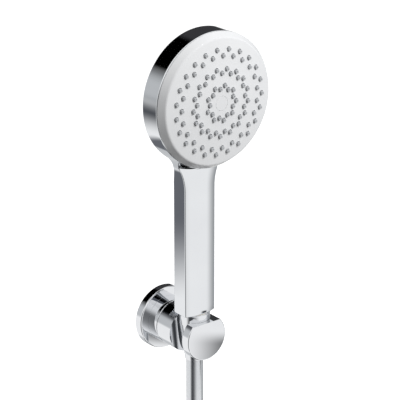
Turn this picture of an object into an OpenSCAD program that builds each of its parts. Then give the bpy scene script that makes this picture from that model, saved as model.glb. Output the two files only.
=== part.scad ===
// Round-head hand shower with its wall holder and hose.
// The wall is the plane Y = 0 and the shower stands out of it towards -Y, with +Z up.
// The origin is the centre of the wall flange, on the wall. Lengths are in millimetres.

/* [Wall bracket] */
// Diameter of the round wall flange
flange_d = 51.2; // [46:0.1:62]
// How far the flange stands out of the wall
flange_depth = 7; // [6:0.1:9]
// Wall thickness of the flange cover
cover_wall = 1.4; // [1:0.1:2]
// Length of the round arm between the flange and the seam of the holder
arm_len = 10.5; // [9:0.1:16]
// Distance between the two wall screws
screw_spacing = 31; // [28:0.5:34]
// Diameter of a wall screw hole
screw_hole_d = 5.2; // [4:0.1:5.6]
// Diameter of the pivot bolt
bolt_d = 6; // [5:0.5:7]

/* [Holder] */
// Diameter of the arm and of the holder body
holder_d = 36.6; // [35:0.1:46]
// Length of the holder body from the seam to its front disc
holder_len = 39.8; // [39:0.1:50]
// Thickness of the front disc, in front of the side slot
disc_t = 7.7; // [5:0.1:10]
// Width of the side slot that the hose passes through
slot_w = 15.6; // [14.5:0.1:17]
// Height of the flat top above the arm's axis
flat_z = 12.6; // [11:0.1:14]
// Width of the dark seam between the arm and the holder
seam_gap = 0.3; // [0.2:0.1:0.5]

/* [Cone nut and hose] */
// Outer diameter of the hose
hose_d = 13.3; // [12:0.1:14]
// Diameter of the cone nut at its rim
nut_d = 24; // [23.4:0.1:25]
// Height of the straight rim above the start of the cone
nut_rim = 9; // [8:0.1:11]
// Diameter of the cone nut's lower end
nut_low_d = 14.6; // [14.4:0.1:15.4]
// Length of the cone below the rim
cone_len = 31; // [28:0.5:38]
// Play between the cone nut and its socket, on the radius
socket_play = 0.2; // [0.1:0.05:0.4]
// Outer diameter of the G1/2 thread
thread_d = 20.9; // [20.7:0.05:20.96]
// Length of the thread in each hose nut
thread_len = 9.5; // [8:0.5:11]

/* [Handle] */
// Width of the handle between its flat sides
handle_w = 28.6; // [26:0.1:34]
// Depth of the flat side band behind the hose axis
band_back = 7.2; // [6.5:0.1:9]
// Depth of the flat side band in front of the hose axis
band_front = 6.8; // [6.5:0.1:9]
// How far the front and the back bulge beyond the side bands
crown = 3.2; // [2:0.1:4]
// Height of the handle's lower end above the arm's axis
handle_z = 18; // [17:0.1:20]
// Distance from the handle's lower end to the centre of the head
reach = 176.3; // [150:0.5:212]
// Wall thickness of the chromed shell
shell_wall = 2.2; // [1.8:0.1:2.6]

/* [Head] */
// Outer diameter of the head
head_d = 104; // [90:0.5:125]
// How far the head's back stands in front of the hose axis
head_back = 4.6; // [3:0.1:8]
// Depth of the chromed band
band_depth = 17.5; // [15.5:0.1:21]
// Width of the bevelled rim of the face, on the radius
bevel_w = 4; // [3:0.1:5]
// Depth of the bevelled rim
bevel_depth = 6.2; // [5:0.1:8]
// Rise of the domed face above the bevelled rim
face_dome = 4.2; // [3:0.1:5.5]
// Radius of the curve that flares the handle into the head
flare_r = 40; // [25:0.5:50]
// Thickness of the face plate
face_t = 2.4; // [2:0.1:3]

/* [Nozzles] */
// Nozzles in each half of the inner, middle and outer ring
ring_counts = [9, 17, 23];
// Radius of the first half of each ring
ring_first = [13.5, 22.6, 35.3];
// Radius of the second half of each ring, half a step on
ring_second = [11.1, 25.6, 40];
// Angle of the first nozzle of each ring
ring_start = [-2.4, 3.6, 7.2];
// Diameter of a nozzle at the face
nozzle_d = 3.8; // [2.8:0.1:4]
// How much the radius of a nozzle shrinks to its tip
nozzle_taper = 0.6; // [0.2:0.1:0.8]
// How far a nozzle stands out of the face
nozzle_out = 1.7; // [1:0.1:2.2]
// Diameter of a nozzle's water channel
jet_d = 1; // [0.8:0.1:1.4]

/* [Hidden] */
$fn = 96;
eps = 0.01;

// Places along the arm, measured out of the wall
seam_y = flange_depth + arm_len;
holder_y = seam_y + seam_gap;
front_y = holder_y + holder_len;
hose_y = front_y - disc_t - slot_w / 2;
holder_r = holder_d / 2;
bolt_r = bolt_d / 2;
run_fit = 0.06;

// Inside of the arm
boss_r = 9;
boss_in = 7.2;
plate_t = 4;
web_t = 2.6;
swivel_t = 1.2;
washer_t = 1;
web_front = seam_y + seam_gap - swivel_t - 0.05;
web_back = web_front - web_t;
head_front = web_back - 2 * washer_t;
bolt_head_t = 3.2;
bolt_in = 9;
skirt_r = 15;
grub_r = 1.5;
grub_y = flange_depth + 2.8;
grub_tip = boss_r - 0.7;

// Hose end and cone nut, along Z
nut_r = nut_d / 2;
cone_top = handle_z - nut_rim;
cone_low = cone_top - cone_len;
low_r = nut_low_d / 2;
cone_slope = (nut_r - low_r) / cone_len;
thread_r = thread_d / 2;
hose_r = hose_d / 2;
washer_h = 2;
seat_z = handle_z - thread_len;
collar_r = 9.7;
collar_h = 4;
fitting_z = seat_z - washer_h - collar_h;
nut_bore = hose_r + 0.15;
bore_r = 4.2;

// Handset, measured along Y from the wall
head_r = head_d / 2;
head_z = handle_z + reach;
back_y = hose_y + head_back;
rim_y = back_y + band_depth;
bevel_y = rim_y + bevel_depth;
face_r = head_r - bevel_w;
face_y = bevel_y + face_dome;
dome_r = (face_r * face_r + face_dome * face_dome) / (2 * face_dome);
half_w = handle_w / 2;
edge_back = hose_y - band_back;
edge_front = hose_y + band_front;
cavity_r = head_r - shell_wall;
cavity_y = back_y + shell_wall;
flare_x = half_w + flare_r;
flare_z = head_z - sqrt(pow(head_r + flare_r, 2) - flare_x * flare_x);
touch_x = flare_x * head_r / (head_r + flare_r);
touch_z = head_z - (head_z - flare_z) * head_r / (head_r + flare_r);
neck_z = touch_z - 16;
chin_h = 9;
sweep_low = flare_z + 2;
sweep_high = touch_z + 6;
lip_gap = 0.2;

// Inside of the handset
tube_r = 4;
tube_bore = 2.8;
tube_low = handle_z + 12;
tube_lean = 25;
tube_bend_r = 16;
tube_end = head_z - head_r + 11.6;
tube_end_y = cavity_y + 4.8;
tube_run = (tube_end_y - hose_y - tube_bend_r * (1 - cos(tube_lean))) / sin(tube_lean);
seal_t = 0.9;
seal_along = tube_run - 14;
tube_bend = tube_end - tube_run * cos(tube_lean) - tube_bend_r * sin(tube_lean);
spigot_r = 7;
spigot_h = 20;
chamber_r = head_r - 10;
chamber_back = cavity_y + 1.5;
chamber_wall = 2;
seal_r = 1.2;
mat_t = 1.6;
mat_r = face_r - 3;
mat_back = face_t + 0.05 + mat_t;
hub_r = 7.6;
cap_r = 5.6;
cap_t = 1.6;
screw_r = 2;
post_ring = head_r - 22;
chamber_front = dome_at(chamber_r - 2) - mat_back - 2 * seal_r - 0.05;

// Places a child whose own +Z is the way out of the wall
module from_wall(y = 0, x = 0, z = 0) {
  translate([x, -y, z]) rotate([90, 0, 0]) children();
}

// Turned part about the line out of the wall: profile points are [radius, distance from the wall]
module turned(points, z = 0) {
  from_wall(0, 0, z) rotate_extrude() polygon(points);
}

// Round bar along the line out of the wall
module bar(r, y1, y2, x = 0, z = 0) {
  from_wall(y1, x, z) cylinder(r = r, h = y2 - y1);
}

// ---- Wall bracket ----

module wall_plate() {
  color("lightgray") difference() {
    union() {
      bar(flange_d / 2 - cover_wall - 0.6, 0, plate_t);
      bar(boss_r, plate_t - eps, head_front);
    }
    bar(boss_in, plate_t, head_front + 1);
    for (s = [-1, 1]) bar(screw_hole_d / 2, -1, plate_t + 1, s * screw_spacing / 2);
    difference() {
      bar(boss_r + 1, grub_y - grub_r - 0.1, grub_y + grub_r + 0.1);
      bar(grub_tip - 0.1, grub_y - grub_r - 1, grub_y + grub_r + 1);
    }
  }
}

module flange_cover() {
  r = flange_d / 2;
  color("gainsboro") turned([[r - cover_wall, 0], [r, 0], [r, flange_depth - 0.6], [r - 0.6, flange_depth],
    [skirt_r + 0.1, flange_depth], [skirt_r + 0.1, flange_depth - cover_wall],
    [r - cover_wall, flange_depth - cover_wall]]);
}

module arm_stub() {
  color("gainsboro") difference() {
    union() {
      bar(holder_r, flange_depth, seam_y);
      bar(skirt_r, plate_t + 0.1, flange_depth + eps);
    }
    bar(boss_r + 0.1, plate_t, web_back);
    bar(bolt_r + run_fit, web_back - 1, web_front + 1);
    bar(holder_r - 2, web_front, seam_y + 1);
    translate([0, -grub_y, -holder_r - 1]) cylinder(r = grub_r + 0.02, h = holder_r + 1);
  }
}

module grub_screw() {
  len = holder_r - grub_tip - 0.4;
  color("dimgray") translate([0, -grub_y, -grub_tip - len]) difference() {
    cylinder(r = grub_r, h = len);
    translate([0, 0, -eps]) cylinder(r = 0.85, h = 2.2, $fn = 6);
  }
}

// ---- Holder ----

// Solid of the cone, shared by the nut and, with play, by its socket
module cone_solid(play = 0, below = 0, above = 0) {
  translate([0, -hose_y, 0]) {
    translate([0, 0, cone_low - below]) cylinder(r1 = low_r + play - cone_slope * below, r2 = nut_r + play,
      h = cone_len + below);
    translate([0, 0, cone_top - eps]) cylinder(r = nut_r + play, h = nut_rim + above + eps);
  }
}

module holder_body() {
  step_y = hose_y - nut_r - 3;
  color("silver") difference() {
    turned([[0, holder_y], [holder_r, holder_y], [holder_r, front_y - 0.5], [holder_r - 0.5, front_y],
      [0, front_y]]);
    translate([-holder_r - 1, -front_y - 1, flat_z]) cube([holder_d + 2, front_y + 1 - step_y, holder_r]);
    cone_solid(socket_play, 4, 6);
    translate([-holder_r - 1, -hose_y - slot_w / 2, -holder_r - 1]) cube([holder_r + 1, slot_w, holder_d + 2]);
    bar(bolt_r, holder_y - 1, head_front + bolt_in + 5);
  }
}

module pivot_bolt() {
  color("dimgray") difference() {
    union() {
      bar(5.2, head_front - bolt_head_t, head_front);
      bar(bolt_r, head_front - eps, head_front + bolt_in + 4.5);
    }
    from_wall(head_front - bolt_head_t - eps) cylinder(r = 2, h = 2, $fn = 6);
  }
}

module spring_washer() {
  color("slategray") difference() {
    bar(6, head_front, head_front + washer_t);
    bar(bolt_r + run_fit, head_front - 1, web_back);
    translate([0, -web_back, 0]) rotate([0, 8, 0]) cube([8, 2 * washer_t + 1, 0.8]);
  }
}

module friction_washer() {
  color("ivory") difference() {
    bar(6.6, head_front + washer_t, web_back);
    bar(bolt_r + run_fit, head_front, web_back + 1);
  }
}

module swivel_washer() {
  color("ivory") difference() {
    bar(holder_r - 2.2, web_front, web_front + swivel_t);
    bar(bolt_r + run_fit, web_front - 1, seam_y + 1);
  }
}

// ---- Hose ----

// The hose hangs down from its fitting and turns once into the tied coil below it
route = [[0, 0, 2], [0, 0, -25], [0, 0, -50], [0, 0, -75], [-1.4, 0, -88], [-5.7, 0, -100.5],
  [-12.6, 0, -111.8], [-21.8, 0, -121.2], [-33, 0, -128.6]];
// The loose end leaves the coil on its left side and hangs beside it
tail = [[-74, 30, -195], [-74.5, 29.6, -207], [-76, 28.6, -220], [-77.6, 27.7, -232], [-78, 27.6, -240],
  [-78, 27.6, -244]];
coil_r = 74;
coil_z = -195;
coil_pitch = 13.8;
coil_turns = 2.175;
tail_end = tail[len(tail) - 1];
end_x = tail_end[0];
end_y = hose_y - tail_end[1];
end_z = tail_end[2];
end_nut_r = 12;
end_nut_h = 16;

function unit(v) = v / norm(v);
function way(p, i) = unit(p[min(i + 1, len(p) - 1)] - p[max(i - 1, 0)]);

// Tube swept along hand-placed points, with one ring of corners at each point
module swept_tube(path, r, sides = 12) {
  n = len(path);
  corners = [for (i = [0 : n - 1]) let (t = way(path, i), u = unit(cross(t, [0, 1, 0.001])), v = cross(t, u))
    for (k = [0 : sides - 1]) path[i] + r * (cos(360 * k / sides) * u + sin(360 * k / sides) * v)];
  walls = [for (i = [0 : n - 2], k = [0 : sides - 1])
    [i * sides + k, (i + 1) * sides + k, (i + 1) * sides + (k + 1) % sides, i * sides + (k + 1) % sides]];
  start = [for (k = [0 : sides - 1]) k];
  stop = [for (k = [sides - 1 : -1 : 0]) (n - 1) * sides + k];
  polyhedron(points = corners, faces = concat([start], walls, [stop]));
}

// Outline of the coil's bundle, [distance from the coil's axis, depth behind the hose axis]
module bundle(grow = 0) {
  depth = coil_pitch * coil_turns;
  for (d = [0, depth]) translate([coil_r, -d]) circle(r = hose_r + grow);
  translate([coil_r - hose_r - grow, -depth]) square([2 * (hose_r + grow), depth]);
}

module coil_place() {
  translate([0, -hose_y, coil_z]) rotate([90, 0, 0]) children();
}

module hose_fitting() {
  color("darkgoldenrod") translate([0, -hose_y, fitting_z]) difference() {
    cylinder(r = collar_r, h = collar_h);
    translate([0, 0, -1]) cylinder(r = bore_r, h = collar_h + 2);
  }
}

module hose_tube() {
  top = concat([[0, 0, fitting_z]], [for (i = [1 : len(route) - 1]) route[i]]);
  color("silver") translate([0, -hose_y, 0]) swept_tube(top, hose_r);
}

module hose_coil() {
  color("silver") coil_place() rotate_extrude() bundle();
}

module hose_tail() {
  color("silver") translate([0, -hose_y, 0]) swept_tube(tail, hose_r);
}

module coil_tie() {
  color("whitesmoke") coil_place() rotate([0, 0, 86]) rotate_extrude(angle = 8) difference() {
    bundle(1.2);
    bundle();
  }
}

module end_fitting() {
  color("darkgoldenrod") translate([end_x, -end_y, end_z - collar_h]) difference() {
    cylinder(r = collar_r, h = collar_h);
    translate([0, 0, -1]) cylinder(r = bore_r, h = collar_h + 2);
  }
}

module end_nut() {
  color("silver") translate([end_x, -end_y, end_z - collar_h - washer_h - thread_len]) difference() {
    union() {
      cylinder(r = end_nut_r, h = end_nut_h);
      translate([0, 0, end_nut_h - eps]) cylinder(r1 = end_nut_r, r2 = hose_r + 2, h = 5);
    }
    translate([0, 0, -1]) cylinder(r = thread_r + 0.03, h = thread_len + 1);
    translate([0, 0, thread_len - eps]) cylinder(r = collar_r + run_fit, h = washer_h + collar_h + 0.3);
    cylinder(r = hose_r + 0.3, h = end_nut_h + 6);
  }
}

module end_washer() {
  color("dimgray") translate([end_x, -end_y, end_z - collar_h - washer_h]) difference() {
    cylinder(r = collar_r - 0.1, h = washer_h);
    translate([0, 0, -1]) cylinder(r = bore_r + 0.8, h = washer_h + 2);
  }
}

// ---- Handset: lower end ----

module cone_nut() {
  color("silver") difference() {
    cone_solid();
    translate([0, -hose_y, seat_z]) cylinder(r = thread_r + 0.03, h = thread_len + 1);
    translate([0, -hose_y, fitting_z - 0.3]) cylinder(r = collar_r + run_fit, h = collar_h + washer_h + 0.3 + eps);
    translate([0, -hose_y, cone_low - 1]) cylinder(r = nut_bore, h = cone_len + 1);
  }
}

module hose_washer() {
  color("dimgray") translate([0, -hose_y, fitting_z + collar_h]) difference() {
    cylinder(r = collar_r - 0.1, h = washer_h);
    translate([0, 0, -1]) cylinder(r = bore_r + 0.8, h = washer_h + 2);
  }
}

module inlet_nipple() {
  filter_r = spigot_r - 0.8;
  color("whitesmoke") translate([0, -hose_y, 0]) difference() {
    union() {
      translate([0, 0, seat_z + 0.2]) cylinder(r = thread_r, h = handle_z - seat_z - 0.2);
      translate([0, 0, handle_z - eps]) cylinder(r = spigot_r, h = spigot_h + eps);
    }
    translate([0, 0, seat_z - 1]) cylinder(r = filter_r, h = handle_z + 4 - seat_z + 1);
    translate([0, 0, handle_z]) cylinder(r = tube_bore, h = spigot_h + 1);
    translate([0, 0, tube_low]) cylinder(r = tube_r + 0.03, h = spigot_h);
    translate([0, 0, tube_low + 2]) cylinder(r = tube_r + 1.5, h = 2);
  }
}

module inlet_filter() {
  filter_r = spigot_r - 0.9;
  color("darkgray") translate([0, -hose_y, seat_z + 0.6]) difference() {
    cylinder(r1 = filter_r, r2 = filter_r - 2, h = 5);
    translate([0, 0, -eps]) cylinder(r1 = filter_r - 1, r2 = filter_r - 3, h = 4);
  }
}

module flow_regulator() {
  filter_r = spigot_r - 0.9;
  color("seagreen") translate([0, -hose_y, handle_z - 1.4]) difference() {
    cylinder(r = filter_r, h = 4);
    for (a = [0 : 60 : 300]) rotate(a) translate([3.6, 0, -1]) cylinder(r = 0.8, h = 6);
  }
}

// Places a child at the end of the water tube's bend, with +Z along the leaning stretch
module at_lean(along = 0) {
  translate([0, -hose_y - tube_bend_r, tube_bend]) rotate([tube_lean, 0, 0]) translate([0, tube_bend_r, along])
    children();
}

// Bar of radius r along the water's way: straight up, one bend, then leaning forward.
// The bend is a hair thicker than the two straight stretches that lap into it.
module tube_path(r, low, extra = 0) {
  lap = 0.02;
  translate([0, -hose_y, low]) cylinder(r = r, h = tube_bend - low + lap);
  translate([0, -hose_y - tube_bend_r, tube_bend]) rotate([90, 0, 90]) rotate_extrude(angle = tube_lean)
    translate([tube_bend_r, 0]) circle(r = r + lap);
  at_lean(-lap) cylinder(r = r, h = tube_run + extra + lap);
}

module water_tube() {
  color("whitesmoke") difference() {
    tube_path(tube_r, tube_low);
    tube_path(tube_bore, tube_low - 1, 1);
  }
}

// O-ring about the line along Z
module o_ring(r, section) {
  rotate_extrude() translate([r + section, 0]) circle(r = section, $fn = 32);
}

module tube_seals() {
  color("dimgray") {
    translate([0, -hose_y, tube_low + 3]) o_ring(tube_r, 0.7);
    at_lean(seal_along) o_ring(tube_r, seal_t / 2);
  }
}

// ---- Handset: chromed shell ----

// Cross-section of the handle: flat sides, with a bulged front and back
module handle_section(inset = 0) {
  bulge_r = (half_w * half_w + crown * crown) / (2 * crown);
  w = half_w - inset;
  translate([0, -hose_y]) intersection() {
    translate([-w, -band_front - crown]) square([2 * w, band_front + band_back + 2 * crown]);
    translate([0, bulge_r - band_front - crown]) circle(r = bulge_r - inset);
    translate([0, band_back + crown - bulge_r]) circle(r = bulge_r - inset);
  }
}

// Outline of the handset seen from the front, as [across, up]
module front_outline() {
  translate([0, head_z]) circle(r = head_r);
  difference() {
    polygon([[-half_w, handle_z], [half_w, handle_z], [half_w, flare_z], [touch_x, touch_z], [0, head_z],
      [-touch_x, touch_z], [-half_w, flare_z]]);
    for (s = [-1, 1]) translate([s * flare_x, flare_z]) circle(r = flare_r);
  }
}

// Side view of the handset, as [distance from the wall, up], grown by a bulge that fades into the head
module side_outline(bulge = 0) {
  top = head_z + head_r + 1;
  first = edge_back - bulge;
  last = edge_front + bulge;
  back = [for (i = [0 : 8]) let (t = i / 8)
    [first + t * t * (3 - 2 * t) * (back_y - first), sweep_low + t * (sweep_high - sweep_low)]];
  front = [for (a = [90 : -15 : 0]) [last + (rim_y - last) * (1 - cos(a)), neck_z + chin_h * sin(a)]];
  polygon(concat([[first, handle_z - 1]], back, [[back_y, top], [rim_y, top]], front, [[last, handle_z - 1]]));
}

// Bar across the whole width with the side view as its section
module side_bar(bulge = 0) {
  translate([-head_r - 1, 0, 0]) rotate([90, 0, 90]) linear_extrude(height = head_d + 2) mirror([1, 0])
    side_outline(bulge);
}

module housing() {
  color("silver") difference() {
    union() {
      intersection() {
        rotate([90, 0, 0]) linear_extrude(height = rim_y + 1) front_outline();
        side_bar();
      }
      intersection() {
        translate([0, 0, handle_z]) linear_extrude(height = sweep_high - handle_z) handle_section();
        side_bar(crown);
      }
    }
    translate([0, 0, handle_z + 3]) linear_extrude(height = flare_z - handle_z - 3) handle_section(shell_wall);
    bar(cavity_r, cavity_y, rim_y + 1, 0, head_z);
    tube_path(tube_r + 0.4, flare_z - 1, 3);
    at_lean(seal_along - seal_t) cylinder(r = tube_r + seal_t + 0.05, h = 2 * seal_t);
    translate([0, -hose_y, handle_z - 1]) cylinder(r = spigot_r + 0.02, h = 6);
  }
  color("silver") for (a = [90, 210, 330]) difference() {
    bar(3.4, cavity_y - eps, chamber_back, post_ring * cos(a), head_z + post_ring * sin(a));
    bar(1.5, cavity_y + 0.2, chamber_back + 1, post_ring * cos(a), head_z + post_ring * sin(a));
  }
}

// ---- Handset: spray head ----

// Distance of the domed face from the wall at radius r
function dome_at(r) = bevel_y - dome_r + face_dome + sqrt(dome_r * dome_r - r * r);
// Points along the dome, set back by a depth, from radius r1 to r2
function dome(r1, r2, back = 0) = [for (i = [0 : 8]) let (r = r1 + (r2 - r1) * i / 8) [r, dome_at(r) - back]];

module spray_chamber() {
  color("whitesmoke") difference() {
    turned([[0, chamber_back], [chamber_r, chamber_back], [chamber_r, chamber_front],
      [chamber_r - 3.6, chamber_front], [chamber_r - 3.6, chamber_back + chamber_wall],
      [5, chamber_back + chamber_wall], [5, dome_at(0) - mat_back - 1.5], [0, dome_at(0) - mat_back - 1.5]], head_z);
    bar(screw_r, chamber_back + 4, face_y, 0, head_z);
    for (a = [90, 210, 330])
      bar(1.6, chamber_back - 1, chamber_back + 3, post_ring * cos(a), head_z + post_ring * sin(a));
    tube_path(tube_r + 0.1, flare_z, 3);
  }
}

module chamber_screws() {
  color("dimgray") for (a = [90, 210, 330]) {
    x = post_ring * cos(a);
    z = head_z + post_ring * sin(a);
    bar(1.5, cavity_y + 0.3, chamber_back + chamber_wall + eps, x, z);
    difference() {
      bar(2.8, chamber_back + chamber_wall, chamber_back + chamber_wall + 1.8, x, z);
      from_wall(chamber_back + chamber_wall + 0.8, x, z) cylinder(r = 1.2, h = 2, $fn = 6);
    }
  }
}

module chamber_seal() {
  color("dimgray") from_wall(chamber_front + seal_r, 0, head_z) o_ring(chamber_r - 1.8 - seal_r, seal_r - 0.02);
}

// One child at every nozzle, with its radius on the face in $at
module at_nozzles() {
  for (i = [0 : len(ring_counts) - 1], j = [0, 1], k = [0 : ring_counts[i] - 1]) {
    a = ring_start[i] + (k + j / 2) * 360 / ring_counts[i];
    $at = j == 0 ? ring_first[i] : ring_second[i];
    translate([$at * cos(a), 0, head_z + $at * sin(a)]) children();
  }
}

module face_plate() {
  skirt = head_r - shell_wall - 0.15;
  color("white") difference() {
    turned(concat([[head_r - 0.2, rim_y + lip_gap], [head_r, rim_y + lip_gap + 0.4], [face_r + 0.5, bevel_y - 0.4]],
      dome(face_r, 0), [[0, face_y - face_t - 3], [hub_r, face_y - face_t - 3]],
      dome(hub_r, mat_r + 0.5, face_t), [[skirt - 2, rim_y + 1], [skirt - 2, rim_y - 3], [skirt, rim_y - 3],
      [skirt, rim_y + lip_gap]]), head_z);
    at_nozzles() bar(nozzle_d / 2 + 0.05, rim_y, face_y + 1);
    bar(screw_r + 0.1, rim_y, face_y, 0, head_z);
    bar(cap_r + 0.05, face_y - cap_t - 2, face_y + 1, 0, head_z);
  }
}

module nozzle_mat() {
  color("gray") difference() {
    union() {
      turned(concat(dome(hub_r + 0.1, mat_r, face_t + 0.05), dome(mat_r, hub_r + 0.1, mat_back)), head_z);
      at_nozzles() from_wall(dome_at($at) - mat_back + 0.3)
        cylinder(r1 = nozzle_d / 2, r2 = nozzle_d / 2 - nozzle_taper, h = mat_back - 0.3 + nozzle_out);
    }
    at_nozzles() bar(jet_d / 2, dome_at($at) - mat_back - 1, face_y + nozzle_out + 1);
  }
}

module face_screw() {
  color("dimgray") difference() {
    union() {
      bar(screw_r, chamber_back + 5, face_y - cap_t - 2 + eps, 0, head_z);
      bar(3.8, face_y - cap_t - 2, face_y - cap_t - 0.1, 0, head_z);
    }
    from_wall(face_y - cap_t - 1.4, 0, head_z) cylinder(r = 1.5, h = 2, $fn = 6);
  }
}

module screw_cap() {
  color("white") turned(concat(dome(cap_r, 0), [[0, face_y - cap_t], [cap_r, face_y - cap_t]]), head_z);
}

wall_plate();
flange_cover();
arm_stub();
grub_screw();
holder_body();
pivot_bolt();
spring_washer();
friction_washer();
swivel_washer();
hose_fitting();
hose_tube();
hose_coil();
hose_tail();
coil_tie();
end_fitting();
cone_nut();
hose_washer();
housing();
inlet_nipple();
inlet_filter();
flow_regulator();
water_tube();
tube_seals();
spray_chamber();
chamber_screws();
chamber_seal();
face_plate();
nozzle_mat();
face_screw();
screw_cap();
end_nut();
end_washer();
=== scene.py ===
"""Round-head hand shower on its wall holder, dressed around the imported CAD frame.

Every piece stands in the frame of the CAD: metres, the wall at Y = 0, the shower out
of it towards -Y, and +Z up. Sizes below are in millimetres, and a place across the
wall is given as [across, out of the wall, up].
"""

import logging
import math
from dataclasses import dataclass, field
from enum import Enum
from typing import Callable

import bmesh
import bpy
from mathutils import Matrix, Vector
from mathutils.geometry import delaunay_2d_cdt

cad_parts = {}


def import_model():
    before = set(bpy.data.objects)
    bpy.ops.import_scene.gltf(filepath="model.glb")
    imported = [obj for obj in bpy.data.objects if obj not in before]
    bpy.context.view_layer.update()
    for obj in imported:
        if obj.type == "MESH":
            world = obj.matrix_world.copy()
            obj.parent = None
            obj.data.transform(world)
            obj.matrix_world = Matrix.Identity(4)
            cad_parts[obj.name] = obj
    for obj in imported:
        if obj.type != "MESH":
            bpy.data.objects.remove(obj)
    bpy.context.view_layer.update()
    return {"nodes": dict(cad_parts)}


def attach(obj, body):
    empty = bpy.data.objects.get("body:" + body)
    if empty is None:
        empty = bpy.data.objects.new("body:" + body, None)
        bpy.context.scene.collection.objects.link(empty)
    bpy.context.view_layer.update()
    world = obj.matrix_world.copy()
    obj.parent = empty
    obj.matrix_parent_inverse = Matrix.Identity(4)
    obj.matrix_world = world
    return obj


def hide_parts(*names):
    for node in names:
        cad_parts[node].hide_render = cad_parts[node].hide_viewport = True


LOG = logging.getLogger("hand_shower")
MM = 0.001
TURN = 2 * math.pi
DRIFT = 22 * MM  # size of the faint drift of tone over a part
NOISE = (0.3, 0.7)  # the values that a noise texture mostly stays between
COAT_ROUGHNESS = 0.08
SOFT_REACH = 1.5 * MM  # how far light scatters below a soft surface
FINE = 192  # points round the large turned parts

Point = tuple[float, float, float]
Profile = list[tuple[float, float]]


class Way(Enum):
    """The line that a turned part is turned about."""

    OUT = "out of the wall"
    UP = "up"


class Skin(Enum):
    """What the surface of a finish does at a small scale."""

    PLATED = "bright plating with faint polishing haze"
    MOULDED = "moulded plastic with a fine spark texture"
    RUBBER = "matt rubber with a soft grain"
    CAST = "cast or pressed metal, slightly uneven"


# ---- Colour and materials ----


def linear(hex_colour: str) -> tuple[float, float, float, float]:
    """Turn an sRGB hex colour to linear.

    Args:
        hex_colour: Six hex digits.

    Returns:
        Linear red, green, blue and full alpha.
    """
    srgb = [int(hex_colour[i : i + 2], 16) / 255 for i in (0, 2, 4)]
    red, green, blue = (c / 12.92 if c <= 0.04045 else ((c + 0.055) / 1.055) ** 2.4 for c in srgb)
    return red, green, blue, 1.0


def add_node(
    tree: bpy.types.NodeTree,
    kind: str,
    settings: dict[str, object] | None = None,
    values: dict[str, object] | None = None,
    links: dict[str, bpy.types.NodeSocket] | None = None,
) -> bpy.types.Node:
    """Add one node with its settings, socket values and incoming links.

    Args:
        tree: Node tree to add to.
        kind: Node type name.
        settings: Attributes of the node.
        values: Default values by input name.
        links: Output sockets to link, by input name.

    Returns:
        The new node.
    """
    node = tree.nodes.new(kind)
    for name, value in (settings or {}).items():
        setattr(node, name, value)
    for name, value in (values or {}).items():
        node.inputs[name].default_value = value
    for name, socket in (links or {}).items():
        tree.links.new(socket, node.inputs[name])
    return node


@dataclass(frozen=True)
class Finish:
    """One real finish, as the numbers of its shader.

    Args:
        name: Name of the material, for what the real one is.
        colour: Main colour, sRGB hex.
        second: Colour that the first varies towards, sRGB hex.
        metallic: 1 for bare metal, 0 for everything else.
        roughness: Lowest and highest roughness over the surface.
        skin: What the surface does at a small scale.
        grain: Size of that pattern in millimetres.
        relief: Depth of that pattern in millimetres.
        coat: Weight of a clear glossy coat.
        soft: Weight of light that scatters below the surface.
    """

    name: str
    colour: str
    second: str
    metallic: float
    roughness: tuple[float, float]
    skin: Skin
    grain: float
    relief: float
    coat: float = 0.0
    soft: float = 0.0

    def material(self) -> bpy.types.Material:
        """Build the finish as a node material, once.

        Returns:
            The material, shared by every piece with this finish.
        """
        made = bpy.data.materials.get(self.name)
        if made:
            return made
        made = bpy.data.materials.new(self.name)
        made.use_nodes = True
        made.diffuse_color = linear(self.colour)
        tree = made.node_tree
        shader = tree.nodes["Principled BSDF"]
        shader.inputs["Metallic"].default_value = self.metallic
        shader.inputs["Coat Weight"].default_value = self.coat
        shader.inputs["Coat Roughness"].default_value = COAT_ROUGHNESS
        shader.inputs["Subsurface Weight"].default_value = self.soft
        shader.inputs["Subsurface Scale"].default_value = SOFT_REACH
        place = add_node(tree, "ShaderNodeTexCoord").outputs["Object"]
        detail = 4.0 if self.skin in (Skin.MOULDED, Skin.CAST) else 2.0
        grain = add_node(tree, "ShaderNodeTexNoise", links={"Vector": place}, values={
            "Scale": 1 / (self.grain * MM), "Detail": detail, "Roughness": 0.55})
        # broad, faint drift of tone, as wiping and water leave on a part this size
        drift = add_node(tree, "ShaderNodeTexNoise", links={"Vector": place}, values={
            "Scale": 1 / DRIFT, "Detail": 2.0})
        tone = add_node(tree, "ShaderNodeMix", {"data_type": "RGBA"}, links={"Factor": drift.outputs["Fac"]})
        tone.inputs[6].default_value = linear(self.colour)
        tone.inputs[7].default_value = linear(self.second)
        tree.links.new(tone.outputs[2], shader.inputs["Base Color"])
        pattern = drift if self.skin is Skin.PLATED else grain
        low, high = self.roughness
        polish = add_node(tree, "ShaderNodeMapRange", links={"Value": pattern.outputs["Fac"]}, values={
            "From Min": NOISE[0], "From Max": NOISE[1], "To Min": low, "To Max": high})
        tree.links.new(polish.outputs["Result"], shader.inputs["Roughness"])
        if self.relief:
            bump = add_node(tree, "ShaderNodeBump", links={"Height": grain.outputs["Fac"]}, values={
                "Strength": 1.0, "Distance": self.relief * MM})
            tree.links.new(bump.outputs["Normal"], shader.inputs["Normal"])
        return made


# Chrome on moulded ABS: a mirror, a touch softer than chrome on metal
CHROMED_ABS = Finish("Chromed_ABS", "E4E6E8", "DDDFE2", 1, (0.015, 0.035), Skin.PLATED, 6, 0)
# Chrome on turned brass and cast zinc: a hard, clean mirror
CHROMED_BRASS = Finish("Chromed_brass", "E6E7E9", "DEE0E3", 1, (0.01, 0.03), Skin.PLATED, 6, 0)
# Die-cast zinc left bare inside the cover: dull blue-grey with flow marks
CAST_ZINC = Finish("Diecast_zinc", "A9ADB1", "8E9398", 1, (0.36, 0.5), Skin.CAST, 2.2, 0.03)
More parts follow.
